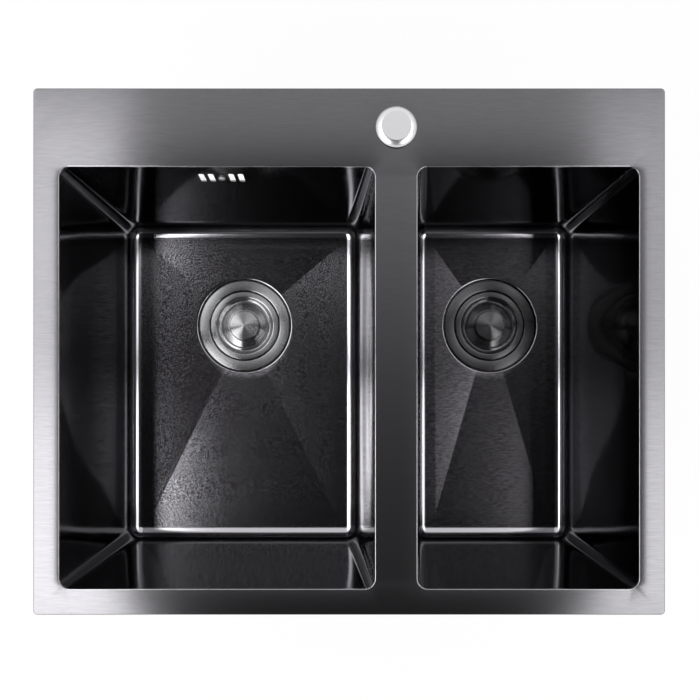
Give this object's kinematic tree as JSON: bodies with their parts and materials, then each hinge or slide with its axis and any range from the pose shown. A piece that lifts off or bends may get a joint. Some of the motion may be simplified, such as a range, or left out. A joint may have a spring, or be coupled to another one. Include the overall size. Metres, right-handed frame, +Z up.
{
  "type": "double bowl kitchen sink",
  "caption": "Inset kitchen sink with a wide left bowl and a narrow right bowl, strainer wastes with lids, an overflow and a capped tap hole.",
  "frame": {"origin": "middle of the rim, in the plane of the worktop's top face, where the rim seal rests", "axes": "+X to the right, +Y to the rear, +Z up"},
  "size_m": [0.6, 0.5, 0.3131],
  "materials": {
    "gunmetal_deck": "brushed gunmetal coating",
    "gunmetal_bowl": "polished walls, satin floor, gunmetal coating",
    "strainer_steel": "spun stainless steel, gunmetal coating",
    "plain_steel": "plain stainless steel",
    "zinc_steel": "zinc plated steel",
    "chrome_cap": "polished chrome plate",
    "white_plastic": "moulded white polypropylene",
    "black_plastic": "moulded black polypropylene",
    "seal_rubber": "black rubber",
    "foam_seal": "closed-cell foam strip",
    "damping_rubber": "grey damping rubber"
  },
  "bodies": {
    "sink": {"deck_plate": "gunmetal_deck", "rim_seal": "foam_seal", "clip_lugs": "plain_steel", "clip_bolts": "zinc_steel", "clip_nuts": "zinc_steel", "overflow_gasket": "seal_rubber", "overflow_housing": "white_plastic", "overflow_screw": "plain_steel", "tap_hole_cap": "chrome_cap", "cap_seal": "seal_rubber", "cap_washer": "black_plastic", "cap_nut": "black_plastic", "left_bowl": "gunmetal_bowl", "left_wall_pads": "damping_rubber", "left_floor_pad": "damping_rubber", "left_strainer_cup": "strainer_steel", "left_cup_gasket": "seal_rubber", "left_body_gasket": "seal_rubber", "left_drain_body": "black_plastic", "left_cup_screw": "plain_steel", "right_bowl": "gunmetal_bowl", "right_wall_pads": "damping_rubber", "right_floor_pad": "damping_rubber", "right_strainer_cup": "strainer_steel", "right_cup_gasket": "seal_rubber", "right_body_gasket": "seal_rubber", "right_drain_body": "black_plastic", "right_cup_screw": "plain_steel"},
    "left_basket_unit": {"left_basket": "strainer_steel", "left_basket_seal": "seal_rubber", "left_basket_stem": "strainer_steel"},
    "left_lid_unit": {"left_lid": "strainer_steel", "left_lid_seal": "seal_rubber", "left_lid_knob": "strainer_steel", "left_lid_nut": "plain_steel"},
    "right_basket_unit": {"right_basket": "strainer_steel", "right_basket_seal": "seal_rubber", "right_basket_stem": "strainer_steel"},
    "right_lid_unit": {"right_lid": "strainer_steel", "right_lid_seal": "seal_rubber", "right_lid_knob": "strainer_steel", "right_lid_nut": "plain_steel"},
    "front_left_clip_claw": {"front_left_claw": "zinc_steel"},
    "front_right_clip_claw": {"front_right_claw": "zinc_steel"},
    "rear_left_clip_claw": {"rear_left_claw": "zinc_steel"},
    "rear_right_clip_claw": {"rear_right_claw": "zinc_steel"},
    "left_front_clip_claw": {"left_front_claw": "zinc_steel"},
    "left_rear_clip_claw": {"left_rear_claw": "zinc_steel"},
    "right_front_clip_claw": {"right_front_claw": "zinc_steel"},
    "right_rear_clip_claw": {"right_rear_claw": "zinc_steel"}
  },
  "joints": [
    {"name": "left_basket_lift", "type": "slide", "parent": "sink", "child": "left_basket_unit", "axis": [0, 0, 1], "range_m": [0, 0.06]},
    {"name": "left_lid_lift", "type": "slide", "parent": "left_basket_unit", "child": "left_lid_unit", "axis": [0, 0, 1], "range_m": [0, 0.04]},
    {"name": "right_basket_lift", "type": "slide", "parent": "sink", "child": "right_basket_unit", "axis": [0, 0, 1], "range_m": [0, 0.06]},
    {"name": "right_lid_lift", "type": "slide", "parent": "right_basket_unit", "child": "right_lid_unit", "axis": [0, 0, 1], "range_m": [0, 0.04]},
    {"name": "front_left_claw_swing", "type": "hinge", "parent": "sink", "child": "front_left_clip_claw", "pos_m": [-0.19, -0.2345, -0.036], "axis": [0, 0, 1], "range_deg": [-90, 90]},
    {"name": "front_right_claw_swing", "type": "hinge", "parent": "sink", "child": "front_right_clip_claw", "pos_m": [0.19, -0.2345, -0.036], "axis": [0, 0, 1], "range_deg": [-90, 90]},
    {"name": "rear_left_claw_swing", "type": "hinge", "parent": "sink", "child": "rear_left_clip_claw", "pos_m": [-0.19, 0.2345, -0.036], "axis": [0, 0, 1], "range_deg": [-90, 90]},
    {"name": "rear_right_claw_swing", "type": "hinge", "parent": "sink", "child": "rear_right_clip_claw", "pos_m": [0.19, 0.2345, -0.036], "axis": [0, 0, 1], "range_deg": [-90, 90]},
    {"name": "left_front_claw_swing", "type": "hinge", "parent": "sink", "child": "left_front_clip_claw", "pos_m": [-0.2845, -0.14, -0.036], "axis": [0, 0, 1], "range_deg": [-90, 90]},
    {"name": "left_rear_claw_swing", "type": "hinge", "parent": "sink", "child": "left_rear_clip_claw", "pos_m": [-0.2845, 0.09, -0.036], "axis": [0, 0, 1], "range_deg": [-90, 90]},
    {"name": "right_front_claw_swing", "type": "hinge", "parent": "sink", "child": "right_front_clip_claw", "pos_m": [0.2845, -0.14, -0.036], "axis": [0, 0, 1], "range_deg": [-90, 90]},
    {"name": "right_rear_claw_swing", "type": "hinge", "parent": "sink", "child": "right_rear_clip_claw", "pos_m": [0.2845, 0.09, -0.036], "axis": [0, 0, 1], "range_deg": [-90, 90]}
  ]
}
